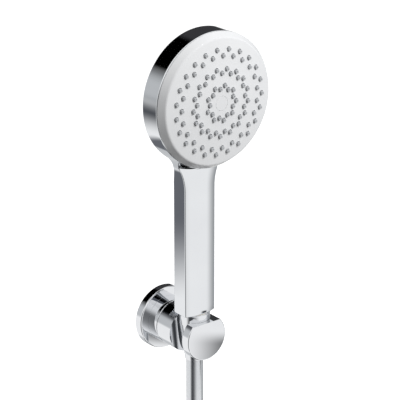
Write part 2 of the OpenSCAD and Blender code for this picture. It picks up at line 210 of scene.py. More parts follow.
# Stainless steel fasteners: satin, slightly brighter on the worn parts
STAINLESS = Finish("Stainless_steel", "B9BCBE", "9EA2A6", 1, (0.2, 0.32), Skin.CAST, 0.9, 0.01)
# Machined brass of the hose ends: warm yellow with fine turning marks
BRASS = Finish("Machined_brass", "C9A55C", "B48D45", 1, (0.22, 0.34), Skin.CAST, 0.7, 0.01)
# Smooth PVC hose with a silver foil under a clear layer: bright, softer than chrome
SILVER_PVC = Finish("Silver_PVC_hose", "D9DBDD", "CBCED2", 0.92, (0.12, 0.17), Skin.PLATED, 3, 0, 0.6)
# Natural nylon and acetal: milky white, low gloss
NYLON = Finish("Natural_nylon", "E6E3DA", "D6D2C6", 0, (0.38, 0.5), Skin.MOULDED, 0.8, 0.01, 0, 0.1)
# Green acetal of the flow regulator, the usual colour code of its flow rate
GREEN_ACETAL = Finish("Green_acetal", "3F8C5C", "35784E", 0, (0.35, 0.46), Skin.MOULDED, 0.8, 0.01)
# White ABS of the face plate: moulded in a polished tool, evenly bright with a soft gloss
WHITE_ABS = Finish("White_ABS", "E2E3E4", "DBDCDE", 0, (0.2, 0.27), Skin.MOULDED, 0.9, 0.002, 0.15)
# Liquid silicone rubber of the nozzles: mid grey, matt
GREY_SILICONE = Finish("Grey_silicone", "BABCBE", "B1B3B6", 0, (0.38, 0.48), Skin.RUBBER, 0.5, 0.006)
# EPDM of the seals and washers: near black, matt, finely grained
BLACK_EPDM = Finish("Black_EPDM", "26272A", "1D1E20", 0, (0.6, 0.75), Skin.RUBBER, 0.45, 0.015)

# The CAD nodes that keep their own mesh, by finish
NODE_FINISHES: dict[Finish, tuple[str, ...]] = {
    CAST_ZINC: ("wall_plate",),
    STAINLESS: ("grub_screw", "pivot_bolt", "spring_washer", "inlet_filter", "chamber_screws", "face_screw"),
    NYLON: ("friction_washer", "swivel_washer", "inlet_nipple", "water_tube", "spray_chamber"),
    BRASS: ("hose_fitting", "end_fitting"),
    BLACK_EPDM: ("hose_washer", "end_washer", "tube_seals", "chamber_seal"),
    GREEN_ACETAL: ("flow_regulator",),
}


# ---- Mesh work ----


def polar(radius: float, angle: float) -> tuple[float, float]:
    """Turn a radius and an angle in radians to a pair of distances."""
    return radius * math.cos(angle), radius * math.sin(angle)


def placed(name: str, data: bpy.types.ID) -> bpy.types.Object:
    """Make an object of its data and link it to the scene."""
    made = bpy.data.objects.new(name, data)
    bpy.context.scene.collection.objects.link(made)
    return made


class Shell:
    """Points and faces of one piece, gathered in millimetres and made into a mesh."""

    def __init__(self, name: str) -> None:
        """Start an empty piece with its name."""
        self.name = name
        self.points: list[Point] = []
        self.faces: list[list[int]] = []

    def row(self, points: list[Point]) -> list[int]:
        """Add points and return their indices."""
        start = len(self.points)
        self.points += points
        return list(range(start, len(self.points)))

    def bridge(self, first: list[int], second: list[int], closed: bool = False) -> None:
        """Join two rows of the same length with quads.

        Args:
            first: Indices of one row.
            second: Indices of the other.
            closed: True if the last point joins the first.
        """
        count = len(first)
        for i in range(count if closed else count - 1):
            j = (i + 1) % count
            self.faces.append([first[i], first[j], second[j], second[i]])

    def skin(self, rows: list[list[int]], closed: bool = False, ring: bool = False) -> None:
        """Join each row to the next with quads.

        Args:
            rows: Rows of indices, all of one length.
            closed: True if the last point of a row joins its first.
            ring: True if the last row joins the first.
        """
        for first, second in zip(rows, rows[1:] + (rows[:1] if ring else [])):
            self.bridge(first, second, closed)

    def fan(self, row: list[int], centre: Point) -> None:
        """Join an open row to the one point that its fan meets at."""
        tip = self.row([centre])[0]
        self.faces += [[first, second, tip] for first, second in zip(row, row[1:])]

    def mirrored(self) -> None:
        """Add the same points and faces on the other side of the plane X = 0."""
        count = len(self.points)
        self.points += [(-x, y, z) for x, y, z in self.points]
        self.faces += [[i + count for i in reversed(face)] for face in self.faces]

    def make(self, finish: Finish, sharp: float = 32) -> bpy.types.Object:
        """Weld the points and make the object, smooth but for its sharp edges.

        Args:
            finish: Finish of the whole piece.
            sharp: Angle in degrees above which an edge stays sharp.

        Returns:
            The object, linked to the scene.
        """
        mesh = bpy.data.meshes.new(self.name)
        mesh.from_pydata([(x * MM, -y * MM, z * MM) for x, y, z in self.points], [], self.faces)
        work = bmesh.new()
        work.from_mesh(mesh)
        bmesh.ops.remove_doubles(work, verts=work.verts, dist=0.002 * MM)
        bmesh.ops.dissolve_degenerate(work, edges=work.edges, dist=0.001 * MM)
        bmesh.ops.recalc_face_normals(work, faces=work.faces)
        work.to_mesh(mesh)
        work.free()
        mesh.shade_smooth()
        mesh.set_sharp_from_angle(angle=math.radians(sharp))
        mesh.materials.append(finish.material())
        return placed(self.name, mesh)


def rounded(corners: list[tuple[float, float, float]], steps: int = 5, closed: bool = False) -> Profile:
    """Round the corners of a profile.

    Args:
        corners: Corner points with the radius of each, [a, b, radius].
        steps: Points on each rounded corner, less one.
        closed: True for a loop, whose last corner joins its first.

    Returns:
        The profile with an arc in place of each rounded corner.
    """
    made: Profile = []
    count = len(corners)
    for i, (a, b, radius) in enumerate(corners):
        here = Vector((a, b))
        if radius <= 0 or (not closed and i in (0, count - 1)):
            made.append((a, b))
            continue
        back = Vector(corners[i - 1][:2]) - here
        ahead = Vector(corners[(i + 1) % count][:2]) - here
        half = back.angle(ahead) / 2
        reach = min(radius / math.tan(half), 0.48 * back.length, 0.48 * ahead.length)
        radius = reach * math.tan(half)
        start, stop = here + back.normalized() * reach, here + ahead.normalized() * reach
        middle = here + (back.normalized() + ahead.normalized()).normalized() * radius / math.sin(half)
        from_middle, to_middle = start - middle, stop - middle
        sweep = from_middle.angle_signed(to_middle)
        # a point just off each end of the arc keeps the flats beside it optically flat
        margin = min(0.2 * radius, 0.01 * min(back.length, ahead.length))
        made.append(tuple(start + back.normalized() * margin))
        for k in range(steps + 1):
            turn = -sweep * k / steps
            cos, sin = math.cos(turn), math.sin(turn)
            x, y = from_middle
            made.append((middle.x + x * cos - y * sin, middle.y + x * sin + y * cos))
        made.append(tuple(stop + ahead.normalized() * margin))
    return made


def turned(
    shell: Shell,
    profile: Profile,
    centre: Point,
    way: Way,
    sides: int = 144,
    closed: bool = False,
    ripple: Callable[[float, float, float], float] | None = None,
) -> None:
    """Add a part turned about a line through a point.

    Args:
        shell: Piece to add to.
        profile: Points [radius, distance along the line from the centre].
        centre: A point on the line.
        way: Direction of the line.
        sides: Points around the part.
        closed: True if the profile is a loop, as for a ring.
        ripple: Radius as a function of radius, distance and angle, for grips.
    """
    rings = []
    for radius, along in profile:
        ring = []
        for k in range(sides):
            angle = TURN * k / sides
            u, v = polar(ripple(radius, along, angle) if ripple else radius, angle)
            if way is Way.OUT:
                ring.append((centre[0] + u, centre[1] + along, centre[2] + v))
            else:
                ring.append((centre[0] + u, centre[1] + v, centre[2] + along))
        rings.append(shell.row(ring))
    shell.skin(rings, closed=True, ring=closed)


def settle(piece: bpy.types.Object, body: str, slot: str, *nodes: str) -> bpy.types.Object:
    """Hang a finished piece on its body in place of its CAD nodes.

    Args:
        piece: The piece.
        body: Body that it moves with.
        slot: Material slot of the record; not used.
        *nodes: CAD nodes that it stands for.

    Returns:
        The piece.
    """
    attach(piece, body)
    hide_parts(*nodes)
    LOG.info("%s on %s for %s", piece.name, body, ", ".join(nodes))
    return piece


def cut(piece: bpy.types.Object, cutters: list[bpy.types.Object], sharp: float = 32) -> None:
    """Cut shapes out of a piece for good, and throw the cutters away.

    Args:
        piece: Piece to cut.
        cutters: Closed shapes to take out of it.
        sharp: Angle in degrees above which an edge stays sharp.
    """
    for cutter in cutters:
        step = piece.modifiers.new("cut", "BOOLEAN")
        step.operation, step.solver, step.object = "DIFFERENCE", "EXACT", cutter
    graph = bpy.context.evaluated_depsgraph_get()
    result = bpy.data.meshes.new_from_object(piece.evaluated_get(graph))
    piece.modifiers.clear()
    piece.data = result
    result.shade_smooth()
    result.set_sharp_from_angle(angle=math.radians(sharp))
    for cutter in cutters:
        bpy.data.objects.remove(cutter)


def soften(piece: bpy.types.Object, width: float) -> None:
    """Break the edges of a piece that turn by more than 40 degrees, by a small radius.

    Args:
        piece: Piece whose edges are broken.
        width: Width of the radius in millimetres.
    """
    step = piece.modifiers.new("edges", "BEVEL")
    step.width, step.segments, step.limit_method = width * MM, 3, "ANGLE"
    step.angle_limit = math.radians(40)
    step.harden_normals = True


def block(name: str, low: Point, high: Point) -> bpy.types.Object:
    """Make a plain cutting block between two corners.

    Args:
        name: Name of the cutter.
        low: Lowest [across, out, up].
        high: Highest [across, out, up].

    Returns:
        The cutter.
    """
    shell = Shell(name)
    (x1, y1, z1), (x2, y2, z2) = low, high
    floor = shell.row([(x1, y1, z1), (x2, y1, z1), (x2, y2, z1), (x1, y2, z1)])
    roof = shell.row([(x1, y1, z2), (x2, y1, z2), (x2, y2, z2), (x1, y2, z2)])
    shell.bridge(floor, roof, closed=True)
    shell.faces += [list(reversed(floor)), roof]
    return shell.make(CAST_ZINC)


# ---- Wall bracket and holder ----


@dataclass
class WallBracket:
    """Wall flange and the round arm that stands out of it."""

    flange_r: float = 25.6
    flange_depth: float = 7.0
    cover_wall: float = 1.4
    skirt_r: float = 15.1
    arm_r: float = 18.3
    arm_end: float = 17.5
    bore_r: float = 9.1
    grub_out: float = 9.8
    grub_r: float = 1.52
    grub_deep: float = 14.0
    sunk: float = 2.9
    lip: float = 2.0
    recess: float = 0.9
    web_back: float = 3.5
    pivot_r: float = 3.06

    def build(self) -> None:
        """Build the cover and the arm."""
        cover = Shell("Flange_cover")
        inner = self.flange_r - self.cover_wall
        front, inside = self.flange_depth, self.flange_depth - self.cover_wall
        loop = rounded([
            (inner, 0, 0), (self.flange_r, 0, 0.25), (self.flange_r, front, 1.1),
            (self.skirt_r, front, 0.2), (self.skirt_r, inside, 0), (inner, inside, 0.4),
        ], closed=True)
        turned(cover, loop, (0, 0, 0), Way.OUT, FINE, closed=True)
        settle(cover.make(CHROMED_BRASS, 40), "wall_bracket", "chrome", "flange_cover")

        arm = Shell("Arm")
        neck, rim = self.skirt_r - 0.1, self.arm_r - self.lip
        face, web = self.arm_end - self.recess, self.arm_end - self.web_back
        loop = rounded([
            (self.bore_r, front - self.sunk, 0), (neck, front - self.sunk, 0), (neck, front + 0.02, 0),
            (self.arm_r, front + 0.02, 0.15), (self.arm_r, self.arm_end, 0.45), (rim, self.arm_end, 0.1),
            (rim, face, 0), (self.pivot_r, face, 0), (self.pivot_r, web, 0), (self.bore_r, web, 0),
        ], closed=True)
        turned(arm, loop, (0, 0, 0), Way.OUT, FINE, closed=True)
        made = arm.make(CHROMED_BRASS, 40)
        hole = Shell("Grub_hole")
        turned(hole, [(0, 0), (self.grub_r, 0), (self.grub_r, self.grub_deep), (0, self.grub_deep)],
               (0, self.grub_out, -self.arm_r - 4), Way.UP, 32)
        cut(made, [hole.make(CAST_ZINC)], 40)
        settle(made, "wall_bracket", "chrome", "arm_stub")


@dataclass
class Holder:
    """Swivelling holder: a short cylinder with a side slot, a conical socket and a front disc."""

    body_r: float = 18.3
    back: float = 17.8
    front: float = 57.6
    flat_up: float = 12.6
    flat_from: float = 27.1
    slot_back: float = 34.3
    slot_front: float = 49.9
    hose_out: float = 42.1
    socket_rim_r: float = 12.2
    socket_low_r: float = 7.5
    rim_up: float = 9.0
    cone_low: float = -22.0
    bolt_r: float = 3.05
    bolt_end: float = 26.5
    edge: float = 0.45

    def build(self) -> None:
        """Build the holder body with its cuts and broken edges."""
        body = Shell("Holder_body")
        outline = rounded(
            [(0, self.back, 0), (self.body_r, self.back, 0.4), (self.body_r, self.front, 0.9),
             (0, self.front, 0)]
        )
        steps = [(r, y) for r, y in outline if r > 0]
        turned(body, [(0, self.back), *steps, (0, self.front)], (0, 0, 0), Way.OUT, FINE)
        made = body.make(CHROMED_BRASS)
        wide = self.body_r + 2
        slope = (self.socket_rim_r - self.socket_low_r) / (self.rim_up - self.cone_low)
        socket = Shell("Socket")
        low = self.cone_low - 4
        turned(socket, [(0, low), (self.socket_low_r - 4 * slope, low),
                        (self.socket_rim_r, self.rim_up), (self.socket_rim_r, 24), (0, 24)],
               (0, self.hose_out, 0), Way.UP, 96)
        bolt = Shell("Bolt_bore")
        turned(bolt, [(0, 10), (self.bolt_r, 10), (self.bolt_r, self.bolt_end), (0, self.bolt_end)],
               (0, 0, 0), Way.OUT, 48)
        cut(made, [
            block("Flat", (-wide, self.flat_from, self.flat_up), (wide, self.front + 1, wide + 2)),
            block("Slot", (-wide, self.slot_back, -wide), (0, self.slot_front, wide)),
            socket.make(CAST_ZINC),
            bolt.make(CAST_ZINC),
        ])
        soften(made, self.edge)
        settle(made, "holder", "chrome", "holder_body")


# ---- Hose ----


@dataclass
class Hose:
    """Smooth hose: down from the holder, into a tied coil, and out to its wall connector."""

    out: float = 42.1
    width: float = 13.3
    coil_r: float = 74.0
    coil_up: float = -195.0
    pitch: float = 13.8
    turns: float = 2.175
    start_angle: float = 116.6
    drop: list[Point] = field(
        default_factory=lambda: [(0, 0, 2.5), (0, 0, -25), (0, 0, -50), (0, 0, -75), (-1.4, 0, -88),
                                 (-5.7, 0, -100.5), (-12.6, 0, -111.8), (-21.8, 0, -121.2)]
    )
    tail: list[Point] = field(
        default_factory=lambda: [(-74.5, 29.6, -207), (-76, 28.6, -220), (-77.6, 27.7, -232),
                                 (-78, 27.6, -240), (-78, 27.6, -244)]
    )

    def line(self) -> list[Vector]:
        """Centreline of the whole hose as closely spaced points, in metres."""
        coil = []
        steps, pieces = 60, 5
        for k in range(steps + 1):
            turned_by = 360 * self.turns * k / steps
            x, z = polar(self.coil_r, math.radians(self.start_angle + turned_by))
            coil.append((x, self.pitch * turned_by / 360, self.coil_up + z))
        places = [Vector((x, back - self.out, z)) * MM for x, back, z in self.drop + coil + self.tail]
        made = []
        for i in range(len(places) - 1):
            before, here = places[max(i - 1, 0)], places[i]
            there, after = places[i + 1], places[min(i + 2, len(places) - 1)]
            for k in range(pieces):
                t = k / pieces
                made.append(0.5 * (2 * here + (there - before) * t
                                   + (2 * before - 5 * here + 4 * there - after) * t * t
                                   + (3 * here - before - 3 * there + after) * t ** 3))
        return [*made, places[-1]]

    def build(self) -> None:
        points = self.line()
        curve = bpy.data.curves.new("Hose", "CURVE")
        curve.dimensions = "3D"
        curve.bevel_depth = self.width / 2 * MM
        curve.bevel_resolution = 10
        curve.use_fill_caps = True
        spline = curve.splines.new("POLY")
        spline.points.add(len(points) - 1)
        for place, point in zip(spline.points, points):
            place.co = (*point, 1)
        spline.use_smooth = True
        curve.materials.append(SILVER_PVC.material())
        hose = placed("Hose", curve)
        settle(hose, "hose", "hose", "hose_tube", "hose_coil", "hose_tail")
        tie = self.tie()

    def tie(self) -> bpy.types.Object:
        """Build the nylon strap round the turns at the top of the coil.

        Returns:
            The strap.
        """
        strap = Shell("Coil_tie")
        inner, sides = self.width / 2 + 0.05, 48
        # half of the width of the strap and the part of it that its rounded edge takes, in degrees
        half, edge = 4.0, 0.35
        depth = self.pitch * self.turns
        rings = []
        for angle, radius in [(-half, inner), (-half, inner + 0.7), (-half + edge, inner + 1.1),
                              (half - edge, inner + 1.1), (half, inner + 0.7), (half, inner)]:
            turn = math.radians(90 + angle)
            ring = []
            for k in range(sides):
                rise, back = polar(radius, TURN * k / sides)
                x, z = polar(self.coil_r + rise, turn)
                ring.append((x, self.out - (depth + back if back > 0 else back), self.coil_up + z))
            rings.append(strap.row(ring))
        strap.skin(rings, closed=True, ring=True)
        return settle(strap.make(NYLON), "hose", "nylon", "coil_tie")


@dataclass
class HoseNuts:
    """Conical nut under the handle and the knurled nut at the wall end of the hose."""

    out: float = 42.1
    rim_r: float = 12.0
    rim_top: float = 18.0
    rim_low: float = 9.0
    cone_low: float = -22.0
    low_r: float = 7.3
    bore_r: float = 6.8
    thread_r: float = 10.48
    seat_r: float = 9.76
    seat_low: float = 2.2
    seat_top: float = 8.5
    end_across: float = -78.0
    end_out: float = 14.5
    end_low: float = -259.5
    end_height: float = 16.0
    end_seat_low: float = 9.5
    end_seat_top: float = 15.8
    end_bore_r: float = 6.95
    collar_r: float = 8.65
    collar_up: float = 5.0
    ribs: int = 40
    rib_deep: float = 0.28
    rib_low: float = 1.6
    rib_high: float = 2.2

    def build(self) -> None:
        """Build both nuts."""
        cone = Shell("Cone_nut")
        thread = self.thread_r + 0.02
        loop = rounded([
            (thread, self.rim_top, 0.2), (self.rim_r, self.rim_top, 0.7), (self.rim_r, self.rim_low, 1.2),
            (self.low_r, self.cone_low, 0.6), (self.bore_r, self.cone_low, 0.2),
            (self.bore_r, self.seat_low, 0), (self.seat_r, self.seat_low, 0),
            (self.seat_r, self.seat_top, 0), (thread, self.seat_top, 0),
        ], closed=True)
        turned(cone, loop, (0, self.out, 0), Way.UP, 128, closed=True)
        settle(cone.make(CHROMED_BRASS), "handset", "chrome", "cone_nut")

        nut = Shell("End_nut")
        top = self.end_height

        def ribbed(radius: float, along: float, angle: float) -> float:
            """Cut shallow ribs into the outside between the two bands of the nut."""
            inside = self.rib_low < along < top - self.rib_high and radius > self.rim_r - 0.5
            return radius - (self.rib_deep * (1 - abs(math.sin(angle * self.ribs / 2))) if inside else 0)

        thread = self.thread_r + 0.03
        loop = rounded([
            (thread, 0, 0.2), (self.rim_r, 0, 0.5), (self.rim_r, 1.4, 0), (self.rim_r - 0.25, 1.65, 0),
            (self.rim_r - 0.02, 1.9, 0), (self.rim_r - 0.02, top - 2.6, 0), (self.rim_r - 0.25, top - 2.3, 0),
            (self.rim_r, top - 2, 0), (self.rim_r, top, 0.5),
            (self.collar_r, top + self.collar_up, 0.4), (self.end_bore_r, top + self.collar_up, 0.2),
            (self.end_bore_r, self.end_seat_top, 0), (self.seat_r, self.end_seat_top, 0),
            (self.seat_r, self.end_seat_low, 0), (thread, self.end_seat_low, 0),
        ], steps=4, closed=True)
        turned(nut, loop, (self.end_across, self.end_out, self.end_low), Way.UP, 240, True, ribbed)
        settle(nut.make(CHROMED_BRASS, 25), "end_connector", "chrome", "end_nut")


# ---- Handset ----


@dataclass
class Handset:
    """Chromed one-piece shell: a flat-sided handle that flares into the round head."""

    low: float = 18.0
    half_w: float = 14.3
    band_back: float = 34.9
    band_front: float = 48.9
    crown: float = 3.2
    head_up: float = 194.3
    head_r: float = 52.0
    back: float = 46.7
    rim: float = 64.2
    flare_r: float = 40.0
    flare_across: float = 54.3
    flare_up: float = 120.0
    sweep_low: float = 122.0
    sweep_high: float = 158.3
    chin: float = 6.0
    back_edge: float = 1.4
    front_edge: float = 0.9
    low_edge: float = 0.6
    margin: float = 0.25
    cavity_r: float = 49.8
    cavity_out: float = 48.9
    cavity_hub_r: float = 6.0
    straight: int = 20
    curved: int = 32
    around: int = 96

    def __post_init__(self) -> None:
        """Work out where the flare touches the head and the rounded front edge's end."""
        self.touch = math.asin((self.head_up - self.flare_up) / (self.head_r + self.flare_r))
        slope = math.atan(2 * self.crown / self.half_w)
        self.front_turn = math.pi / 2 - slope
        self.front_inset = self.front_edge * (1 - math.cos(self.front_turn))

    def outline(self, inset: float) -> list[tuple[float, float]]:
        """Left outline from the handle's lower end to the top of the head.

        Args:
            inset: How far inside the outer outline, in millimetres.

        Returns:
            Points [across, up], the same number for every inset.
        """
        made = []
        for k in range(self.straight):
            up = self.low + self.low_edge + (self.flare_up - self.low - self.low_edge) * k / self.straight
            made.append((-self.half_w + inset, up))
        for k in range(self.curved + 1):
            x, z = polar(self.flare_r + inset, self.touch * k / self.curved)
            made.append((-self.flare_across + x, self.flare_up + z))
        span = math.pi / 2 + self.touch
        for k in range(1, self.around + 1):
            x, z = polar(self.head_r - inset, -self.touch + span * k / self.around)
            made.append((-x, self.head_up + z))
        return made

    def half_width(self, up: float) -> float:
        """Half of the width at a height."""
        if up <= self.flare_up:
            return self.half_w
        if up < self.flare_up + self.flare_r * math.sin(self.touch):
            return self.flare_across - math.sqrt(self.flare_r**2 - (up - self.flare_up) ** 2)
        return math.sqrt(max(self.head_r**2 - (up - self.head_up) ** 2, 0.01))

    def bulge(self, across: float, up: float) -> float:
        """Bulge of the front and back, from 0 at the sides to 1 in the middle."""
        return max(1 - (across / self.half_width(up)) ** 2, 0.0)

    def back_at(self, across: float, up: float) -> float:
        """Distance of the back from the wall, at a place across and up."""
        start = self.band_back - self.crown * self.bulge(across, up)
        t = min(max((up - self.sweep_low) / (self.sweep_high - self.sweep_low), 0.0), 1.0)
        return start + t * t * (3 - 2 * t) * (self.back - start)

    def front_at(self, across: float, up: float) -> float:
        """Distance of the front from the wall, with the hollow chin below the rim."""
        start = self.band_front + self.crown * self.bulge(across, up)
        beyond = math.hypot(across, up - self.head_up) - (self.head_r - self.front_inset)
        t = min(max(beyond / self.chin, 0.0), 1.0)
        return start + (self.rim - start) * (1 - math.sqrt(1 - (1 - t) ** 2))

    def build(self) -> None:
        """Build the shell as one closed skin, left half first."""
        shell = Shell("Housing")
        last = self.straight + self.curved
        outer = self.outline(0)
        back_rows = self.back_rows(shell, outer)
        walls = [shell.row(row) for row in self.front_rows(outer)]
        shell.skin(walls)
        wall_start = [row[0] for row in walls]
        shell.bridge([row[-1] for row in back_rows], wall_start)
        edge = [row[-1] for row in walls]
        grid = self.front_grid(shell, edge[: last + 1])
        self.mouth(shell, [*grid[-1][::-1], *edge[last + 1 :]])
        self.foot(shell, back_rows[0], walls[0], grid[0])
        shell.mirrored()
        made = shell.make(CHROMED_ABS, 38)
        settle(made, "handset", "chrome_shell", "housing")

    def back_rows(self, shell: Shell, outer: list[tuple[float, float]]) -> list[list[int]]:
        """Build the back from its middle line to the rounded edge.

        Args:
            shell: Piece to add to.
            outer: The outer outline.

        Returns:
            One row of indices for each outline point, ending on the outer outline.
        """
        inset = self.outline(self.back_edge)
        rows = []
        steps, turns = 18, 6
        last = self.straight + self.curved
        for i, ((across, up), (wide, high)) in enumerate(zip(inset, outer)):
            blend = min(max((i - self.straight) / self.curved, 0.0), 1.0)
            middle = up if i <= self.straight else up + (self.head_up - up) * blend
            if i > last:
                middle = self.head_up
            row = []
            for k in range(steps + 1):
                t = k / steps
                x, z = across * t, middle + (up - middle) * t
                row.append((x, self.back_at(x, z), z))
            depth = row[-1][1]
            for k in range(1, turns + 1):
                angle = math.pi / 2 * k / turns
                t = math.sin(angle)
                x, z = across + (wide - across) * t, up + (high - up) * t
                row.append((x, depth + self.back_edge * (1 - math.cos(angle)), z))
            row.append((wide, depth + self.back_edge + self.margin, high))
            rows.append(shell.row(row))
        shell.skin(rows)
        return rows

    def front_rows(self, outer: list[tuple[float, float]]) -> list[list[Point]]:
        """Work out the rounded front edge along the whole outline.

        Args:
            outer: The outer outline.

        Returns:
            One row of points for each outline point, from the side to the front.
        """
        inner = self.outline(self.front_inset)
        made = []
        turns = 6
        for (wide, high), (across, up) in zip(outer, inner):
            end = self.front_at(across, up)
            centre = end - self.front_edge * math.sin(self.front_turn)
            row = [(wide, centre - self.margin, high)]
            for k in range(turns + 1):
                angle = self.front_turn * k / turns
                t = (1 - math.cos(angle)) / (1 - math.cos(self.front_turn))
                row.append((wide + (across - wide) * t, centre + self.front_edge * math.sin(angle),
                            high + (up - high) * t))
            made.append(row)
        return made

    def front_grid(self, shell: Shell, edge: list[int]) -> list[list[int]]:
        """Build the left half of the front, from its lower end to the rim of the head.

        Args:
            shell: Piece to add to.
            edge: Indices of the rounded edge's inner side, up to where the flare ends.

        Returns:
            Rows of indices from the left edge to the middle.
        """
        columns = 20
        reach = self.head_r - self.front_inset
        from_below = math.pi / 2 - self.touch
        _, _, top = shell.points[edge[-1]]
        _, _, foot = shell.points[edge[0]]
        rows = []
        for i, start in enumerate(edge):
            wide, _, up = shell.points[start]
            row = [start]
            fresh = []
            for k in range(1, columns + 1):
                turn = from_below * (1 - k / columns)
                share = math.sin(turn) / math.sin(from_below)
                end = self.head_up - reach * math.cos(turn)
                x, z = wide * share, foot + (up - foot) * (end - foot) / (top - foot)
                fresh.append((x, self.front_at(x, z), z))
            rows.append(row + shell.row(fresh))
        shell.skin(rows)
        return rows

    def mouth(self, shell: Shell, rim: list[int]) -> None:
        """Turn the rim inwards and close the hollow of the head behind the spray plate.

        Args:
            shell: Piece to add to.
            rim: Left half of the rim, from the bottom to the top.
        """
        rows = [rim]
        for radius, out in [(self.cavity_r, self.rim), (self.cavity_r, self.cavity_out),
                            (self.cavity_hub_r, self.cavity_out)]:
            row = []
            for i in rim:
                x, _, z = shell.points[i]
                across, up = polar(radius, math.atan2(z - self.head_up, x))
                row.append((across, out, self.head_up + up))
            row[0] = (0.0, out, self.head_up - radius)
            row[-1] = (0.0, out, self.head_up + radius)
            rows.append(shell.row(row))
        shell.skin(rows)
        shell.fan(rows[-1], (0, self.cavity_out, self.head_up))

    def foot(self, shell: Shell, back: list[int], wall: list[int], front: list[int]) -> None:
        """Round the lower end of the handle and close it.

        Args:
            shell: Piece to add to.
            back: Lowest row of the back.
            wall: Lowest row of the side and the front edge.
            front: Lowest row of the front.
        """
        loop = [*back, *wall, *front[1:]]
        middle = (self.band_back + self.band_front) / 2
        half_depth = (self.band_front - self.band_back) / 2 + self.crown
        rows = [loop]
        for k in range(1, 5):
            angle = math.pi / 2 * k / 4
            inset = self.low_edge * (1 - math.cos(angle))
            up = self.low + self.low_edge * (1 - math.sin(angle))
            row = []
            for i in loop:
                x, y, _ = shell.points[i]
                out = middle + (y - middle) * (1 - inset / half_depth)
                row.append((x * (1 - inset / self.half_w), out, up))
            rows.append(shell.row(row))
        shell.skin(rows)
        shell.fan(rows[-1], (0, middle, self.low))


